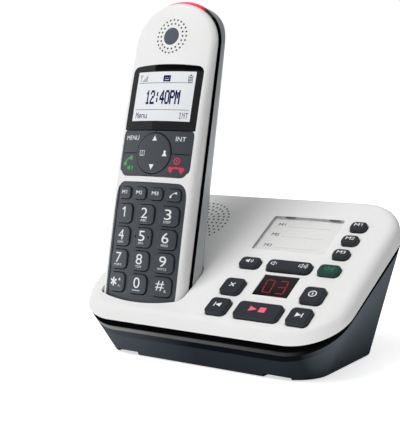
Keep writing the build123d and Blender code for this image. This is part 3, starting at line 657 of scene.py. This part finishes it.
def arched(half, foot, top, rise, corner, across_steps=61, up_steps=14):
    """Thin slab with a low arch for its top: columns from a straight foot to the arch, rounded at both corners."""
    u = half * np.sin(np.linspace(-np.pi / 2, np.pi / 2, across_steps))
    past = np.maximum(np.abs(u) - half + corner, 0)
    crest = top + rise * (1 - (u / half) ** 2) - corner + np.sqrt(np.maximum(corner**2 - past**2, 0))
    share = np.linspace(0, 1, up_steps)[:, None]
    return slab(np.tile(u, (up_steps, 1)), foot + share * (crest - foot))


legend("display_lens_face", [arched(lens_half, lens_foot, lens_top, lens_arch, lens_corner)], face_point, lens_level,
       lens_black, "handset", "black_lens")
legend("display_screen", [moved(sheet(screen_width, screen_height), *screen_middle)], face_point,
       screen_level - ink_film, screen_ground, "handset", "display_glass")
dot_rows = {
    "0": ".###. #...# #...# #...# #...# #...# .###.", "1": "..#.. .##.. ..#.. ..#.. ..#.. ..#.. .###.",
    "2": ".###. #...# ....# ..##. .#... #.... #####", "4": "...#. ..##. .#.#. #..#. ##### ...#. ...#.",
    ":": "..... ..#.. ..#.. ..... ..#.. ..#.. .....", "P": "####. #...# #...# ####. #.... #.... #....",
    "M": "#...# ##.## #.#.# #.#.# #...# #...# #...#", "e": "..... ..... .###. #...# ##### #.... .###.",
    "n": "..... ..... ####. #...# #...# #...# #...#", "u": "..... ..... #...# #...# #...# #..## .##.#",
    "I": ".###. ..#.. ..#.. ..#.. ..#.. ..#.. .###.", "N": "#...# ##..# #.#.# #..## #...# #...# #...#",
    "T": "##### ..#.. ..#.. ..#.. ..#.. ..#.. ..#..",
}


def dots(words, u, v, step_across, step_up, fill):
    """Dot-matrix words: a small square on every set dot of five by seven, from the left foot of the words."""
    shapes = []
    square = np.array(((-0.5, -0.5), (0.5, -0.5), (0.5, 0.5), (-0.5, 0.5))) * (step_across, step_up) * fill
    for index, letter in enumerate(words):
        field = np.array([list(row) for row in dot_rows[letter].split()]) == "#"
        for row, column in np.argwhere(field):
            shapes.append(moved(patch(square), u + (6 * index + column) * step_across, v + (6 - row) * step_up))
    return shapes


clock = dots("12:40PM", -9.3, 86.9, 0.48, 0.95, (1.65, 1.2))
soft_words = dots("Menu", -14.4, 79.6, 0.32, 0.42, 1.0) + dots("INT", 11.2, 79.6, 0.28, 0.42, (0.85, 1.0))
tape = [bar([(-0.4, 97.8), (3.6, 97.8)], 0.8), bar([(-0.4, 100.0), (3.6, 100.0)], 1.0),
        bar([(0.0, 97.6), (0.0, 100.2)], 0.9), bar([(3.2, 97.6), (3.2, 100.2)], 0.9),
        moved(patch(arc(0.55, 0, 345, 12)), 1.05, 98.95), moved(patch(arc(0.55, 0, 345, 12)), 2.15, 98.95)]
aerial = [bar([(-14.4, 97.4), (-14.4, 100.8)], 0.3), bar([(-15.3, 100.9), (-14.4, 99.6), (-13.5, 100.9)], 0.3)]
aerial += [bar([(-12.9 + 0.8 * step, 97.4), (-12.9 + 0.8 * step, 98.2 + 0.8 * step)], 0.45) for step in range(4)]
battery = [bar([(13.4, 97.2), (15.4, 97.2), (15.4, 100.2), (13.4, 100.2), (13.4, 97.2)], 0.3),
           bar([(14.0, 100.6), (14.8, 100.6)], 0.5)]
battery += [bar([(13.8, 97.9 + 0.8 * step), (15.0, 97.9 + 0.8 * step)], 0.45) for step in range(3)]
legend("display_words", clock + soft_words + tape + battery, face_point, dot_level - ink_film, screen_blue, "handset",
       "display_glass")
rule_run = np.linspace(-15.2, 15.8, 24)
screen_rules = [bar(np.column_stack((rule_run, np.full_like(rule_run, height))), 0.28) for height in (96.85, 83.65)]
legend("display_signs", screen_rules + aerial, face_point, dot_level - ink_film, screen_grey, "handset",
       "display_glass")

# Soft keys and navigation key: slate caps in one field under the display, parted by narrow gaps.
# The words and arrows are white, the talk sign green and the hang-up sign red.
soft_keys = ("menu_key", "intercom_key", "talk_key", "end_key")
keypad_slate = moulded("slate keypad", slate_colour, 0.40, grain=2800.0, relief=0.014, specular=0.75)
dress(keypad_slate, *soft_keys, "navigation_key", "navigation_pivot")
talk_green = ink("talk green ink", (0.06, 0.42, 0.10))
hang_up_red = ink("hang-up red ink", (0.72, 0.035, 0.10))


def receiver(length, bow, thickness, tilt):
    """Telephone receiver: a bowed bar, thick at both ends, turned by a tilt in degrees."""
    share = np.linspace(-1, 1, 25)
    spine = np.stack((share * length / 2, bow * (1 - share**2)), axis=1)
    half = thickness * (0.30 + 0.70 / (1 + np.exp(-16 * (np.abs(share) - 0.62)))) / 2
    along = np.gradient(spine, axis=0)
    side = np.stack((-along[:, 1], along[:, 0]), axis=1) / np.linalg.norm(along, axis=1, keepdims=True)
    outline = np.concatenate((spine + side * half[:, None] * 0.7, (spine - side * half[:, None] * 1.3)[::-1]))
    turn = radians(tilt)
    return patch(outline @ np.array(((cos(turn), sin(turn)), (-sin(turn), cos(turn)))))


up_arrow = patch([(-1.35, -1.2), (1.35, -1.2), (0, 1.4)])
down_arrow = patch([(-1.35, 1.2), (0, -1.4), (1.35, 1.2)])
book = [bar([(-1.3, -1.1), (-1.3, 1.2), (0, 1.0), (1.3, 1.2), (1.3, -1.1), (0, -1.3), (-1.3, -1.1)], 0.28),
        bar([(0, -1.2), (0, 1.0)], 0.28)]
caller = [patch(arc(0.62, 0, 345, 14) + (0, 0.9)), patch([(-1.3, -1.3), (1.3, -1.3), (0.5, 0.35), (-0.5, 0.35)])]
legend("menu_key_sign", [moved(letters("MENU", 2.2, 8.2), -14.2, 69.9)], face_point, 0, white_ink, "menu_key",
       "slate_keypad")
legend("intercom_key_sign", [moved(letters("INT", 2.2, 5.2), 14.0, 69.7)], face_point, 0, white_ink,
       "intercom_key", "slate_keypad")
talk_sign = [moved(receiver(6.3, 1.1, 2.2, 38), -15.2, 58.5)]
talk_sign += [moved(shape, -13.4, 55.2) for shape in loudspeaker_sign(2, line=0.4)]
legend("talk_key_sign", talk_sign, face_point, 0, talk_green, "talk_key", "slate_keypad")
end_sign = [moved(bar(arc(1.45, 0, 360, 41), 0.5), 13.4, 59.2), moved(bar([(0, -0.6), (0, 0.6)], 0.5), 13.4, 59.2),
            moved(receiver(7.8, 1.2, 2.9, 0), 13.4, 54.9)]
legend("end_key_sign", end_sign, face_point, 0, hang_up_red, "end_key", "slate_keypad")
u, v = cap_place("navigation_key", handset_origin, lean, face_out)[:2]
navigation_rise = 0.5
navigation_sign = [moved(up_arrow, u, v + 7.2), moved(down_arrow, u, v - 6.6)]
navigation_sign += [moved(shape, u - 6.4, v) for shape in book] + [moved(shape, u + 6.6, v) for shape in caller]
legend("navigation_key_sign", navigation_sign, face_point, navigation_rise, white_ink, "navigation_key",
       "slate_keypad")

# Keypad: a slate field with a raised cap for each digit and four small keys above them.
# Caps and field are one colour; the digits and the letters under them are white.
digit_letters = {"1": "", "2": "ABC", "3": "DEF", "4": "GHI", "5": "JKL", "6": "MNO", "7": "PQRS", "8": "TUV",
                 "9": "WXYZ", "star": "", "0": "", "hash": ""}
dress(keypad_slate, "keypad_panel", "memory_key_1", "memory_key_2", "memory_key_3", "line_key",
      *("key_" + digit for digit in digit_letters))
key_rise = 0.7
digit_height, digit_width, digit_lift = 4.9, 3.6, 0.75
letter_height, letter_pitch, letter_drop, sign_shift = 1.1, 1.2, 2.75, -0.3
edge_thin, edge_wide, edge_stretches = 0.04, 1.2, ((-10.0, 46.5), (53.5, 73.6))
field_half, field_level = 19.2, 0.02
mouth_radius, mouth_place, mouth_level = 0.9, (0.2, -9.3), -0.28
bell = patch([(-0.75, -0.5), (-0.45, -0.1), (-0.4, 0.45), (0, 0.75), (0.4, 0.45), (0.45, -0.1), (0.75, -0.5)])
star_arms = [bar(np.outer((-1, 1), arc(2.15, turn, turn, 1)[0]), 0.85) for turn in (30, 90, 150)]
key_marks = {
    "star": [*(moved(arm, -1.9, 0.0) for arm in star_arms), moved(bell, 1.9, 1.3),
             moved(letters("Aa", 1.0, 1.7), 1.9, -1.7)],
    "0": [moved(letters("0", 5.0, 3.6), sign_shift, 0.6),
          moved(bar([(-2.1, 0.5), (-2.1, 0), (2.1, 0), (2.1, 0.5)], 0.3), sign_shift, -3.0)],
    "hash": [moved(letters("#", 4.6, 4.3), -0.5, 0.5), moved(letters("R", 1.2, 1.0), 2.4, -1.9)],
    "1": [moved(figure_one(digit_height), sign_shift, digit_lift)],
}
for digit, under in digit_letters.items():
    u, v = cap_place("key_" + digit, handset_origin, lean, face_out)[:2]
    signs = key_marks.get(digit) or [moved(letters(digit, digit_height, digit_width), sign_shift, digit_lift)]
    if under:
        signs = signs + [moved(letters(under, letter_height, letter_pitch * len(under)), sign_shift, -letter_drop)]
    legend(f"key_{digit}_sign", [moved(sign, u, v) for sign in signs], face_point, key_rise, white_ink,
           "key_" + digit, "slate_keypad")
for number in (1, 2, 3):
    u, v = cap_place(f"memory_key_{number}", handset_origin, lean, face_out)[:2]
    legend(f"memory_key_{number}_sign", [moved(sign, u - 0.2, v + 0.3) for sign in memory_sign(number, 1.7, 3.8)],
           face_point, key_rise, white_ink, f"memory_key_{number}", "slate_keypad")
u, v = cap_place("line_key", handset_origin, lean, face_out)[:2]
legend("line_key_sign", [moved(receiver(4.2, 0.7, 1.0, 35), u + 0.2, v)], face_point, key_rise, white_ink, "line_key",
       "slate_keypad")
edge_run = np.linspace(0, 1, 60)[:, None]
edge_width = edge_thin + edge_wide * (1 - np.abs(2 * edge_run - 1) ** 12)
field_edges = [bar(np.hstack((side * (field_half + edge_width / 2), foot + edge_run * (top - foot))), edge_width)
               for side in (-1, 1) for foot, top in edge_stretches]
u, v = cap_place("key_5", handset_origin, lean, face_out)[:2]
five_nibs = [bar([(u + side, v - 0.2), (u + side, v + 0.9)], 0.6) for side in (-3.9, 3.5)]
legend("key_5_nibs", five_nibs, face_point, key_rise, hole_black, "key_5", "slate_keypad")
mouth = moved(patch(arc(mouth_radius, 0, 330, 12)), *mouth_place)
legend("mouth_hole", [mouth], face_point, mouth_level, hole_black, "handset", "slate_keypad")
legend("keypad_field_edges", field_edges, face_point, field_level, keypad_slate, "handset", "slate_keypad")

# Inside the handset: a mat of grey silicone, moulded with a dome under each key, that lies on the board.
# Two battery cells in printed wrap are pressed between the contacts behind the door.
dress(moulded("grey silicone mat", (0.22, 0.22, 0.22), 0.7, relief=0.02), "keypad_mat")
dress(moulded("green cell wrap", (0.06, 0.28, 0.16), 0.3, grain=600.0, relief=0.01, drift=0.1), "battery_cells")

# Studio: a plain white floor that keeps the object's shadow, and a white surround that is flagged off towards the
# right for reflections. A large softbox stands at the front left, with weaker ones above, at the right and behind.
floor_half, floor_colour = 4.0, (0.86, 0.86, 0.86, 1)
fade_near, fade_far, fade_low, fade_high = 0.10, 0.45, 0.66, 1.0
flag_left, flag_right, flag_depth = -0.9, -0.1, 0.85
white, ambient_colour, ambient_strength = (1, 1, 1, 1), (0.97, 0.985, 1.0, 1), 0.17
softboxes = (
    ("front_softbox", (-0.60, -1.20, 1.60), 1.3, 27.0),
    ("top_softbox", (0.20, -0.50, 1.70), 0.9, 5.5),
    ("right_softbox", (1.05, -0.25, 1.20), 0.8, 1.8),
    ("rear_softbox", (0.25, 1.00, 1.30), 0.8, 2.5),
)
floor_mesh = bpy.data.meshes.new("studio_floor")
floor_mesh.from_pydata([(-floor_half, -floor_half, 0), (floor_half, -floor_half, 0), (floor_half, floor_half, 0),
                        (-floor_half, floor_half, 0)], [], [(0, 1, 2, 3)])
floor = bpy.data.objects.new("studio_floor", floor_mesh)
bpy.context.scene.collection.objects.link(floor)


def seen_directly(nodes, links):
    """One for rays from the camera, from a mirror-like surface or through glass, and nought for light itself."""
    path = nodes.new("ShaderNodeLightPath")
    seen = path.outputs["Is Camera Ray"]
    for kind in ("Is Glossy Ray", "Is Transmission Ray"):
        either = nodes.new("ShaderNodeMath")
        either.operation = "MAXIMUM"
        links.new(seen, either.inputs[0])
        links.new(path.outputs[kind], either.inputs[1])
        seen = either.outputs["Value"]
    return seen


floor_white = bpy.data.materials.new("white studio floor")
floor_white.use_nodes = True
nodes, links = floor_white.node_tree.nodes, floor_white.node_tree.links
shader = nodes["Principled BSDF"]
shader.inputs["Base Color"].default_value = floor_colour
shader.inputs["Roughness"].default_value = 1.0
shader.inputs["Specular IOR Level"].default_value = 0.0
shader.inputs["Emission Color"].default_value = white
place = nodes.new("ShaderNodeTexCoord")
reach = nodes.new("ShaderNodeVectorMath")
reach.operation = "LENGTH"
fade = nodes.new("ShaderNodeMapRange")
fade.interpolation_type = "SMOOTHSTEP"
fade.inputs["From Min"].default_value, fade.inputs["From Max"].default_value = fade_near, fade_far
fade.inputs["To Min"].default_value, fade.inputs["To Max"].default_value = fade_low, fade_high
lift = nodes.new("ShaderNodeMath")
lift.operation = "MULTIPLY"
links.new(place.outputs["Object"], reach.inputs[0])
links.new(reach.outputs["Value"], fade.inputs["Value"])
links.new(seen_directly(nodes, links), lift.inputs[0])
links.new(fade.outputs["Result"], lift.inputs[1])
links.new(lift.outputs["Value"], shader.inputs["Emission Strength"])
floor_mesh.materials.append(floor_white)

surround = bpy.data.worlds.new("white surround")
bpy.context.scene.world = surround
surround.use_nodes = True
nodes, links = surround.node_tree.nodes, surround.node_tree.links
ambient = nodes["Background"]
ambient.inputs["Color"].default_value = ambient_colour
ambient.inputs["Strength"].default_value = ambient_strength
backdrop = nodes.new("ShaderNodeBackground")
backdrop.inputs["Color"].default_value = white
way = nodes.new("ShaderNodeTexCoord")
sideways = nodes.new("ShaderNodeSeparateXYZ")
flag = nodes.new("ShaderNodeMapRange")
flag.inputs["From Min"].default_value, flag.inputs["From Max"].default_value = flag_left, flag_right
flag.inputs["To Min"].default_value, flag.inputs["To Max"].default_value = 0.0, flag_depth
mirrored = nodes.new("ShaderNodeLightPath")
cut = nodes.new("ShaderNodeMath")
cut.operation = "MULTIPLY"
left_over = nodes.new("ShaderNodeMath")
left_over.operation = "SUBTRACT"
left_over.inputs[0].default_value = 1.0
links.new(way.outputs["Generated"], sideways.inputs["Vector"])
links.new(sideways.outputs["X"], flag.inputs["Value"])
links.new(flag.outputs["Result"], cut.inputs[0])
links.new(mirrored.outputs["Is Glossy Ray"], cut.inputs[1])
links.new(cut.outputs["Value"], left_over.inputs[1])
links.new(left_over.outputs["Value"], backdrop.inputs["Strength"])
choice = nodes.new("ShaderNodeMixShader")
links.new(seen_directly(nodes, links), choice.inputs["Fac"])
links.new(ambient.outputs["Background"], choice.inputs[1])
links.new(backdrop.outputs["Background"], choice.inputs[2])
links.new(choice.outputs["Shader"], nodes["World Output"].inputs["Surface"])

middle = (cad_box[0] + cad_box[1]) / 2
for name, place, size, power in softboxes:
    lamp = bpy.data.lights.new(name, "AREA")
    lamp.size = size
    lamp.energy = power
    stand = bpy.data.objects.new(name, lamp)
    stand.location = place
    stand.visible_glossy = False
    stand.rotation_mode = "QUATERNION"
    stand.rotation_quaternion = (middle - stand.location).to_track_quat("-Z", "Y")
    bpy.context.scene.collection.objects.link(stand)

# Camera: a long lens a little over half a metre away, low and to the right of the front.
# It stands level and looks along the azimuth and elevation of the photograph.
camera_azimuth, camera_elevation = radians(33.61), radians(6.78)
camera_target = np.array((-54.876, 46.364, 54.838)) * mm
camera_distance, camera_lens = 547.1 * mm, 81.63
back = np.array((sin(camera_azimuth) * cos(camera_elevation), -cos(camera_azimuth) * cos(camera_elevation),
                 sin(camera_elevation)))
camera_data = bpy.data.cameras.new("camera")
camera_data.lens = camera_lens
camera_data.clip_start, camera_data.clip_end = 0.01, 50.0
camera = bpy.data.objects.new("camera", camera_data)
camera.location = camera_target + back * camera_distance
camera.rotation_mode = "QUATERNION"
camera.rotation_quaternion = type(middle)(-back).to_track_quat("-Z", "Y")
bpy.context.scene.collection.objects.link(camera)
bpy.context.scene.camera = camera
bpy.context.scene.view_settings.view_transform = "Standard"
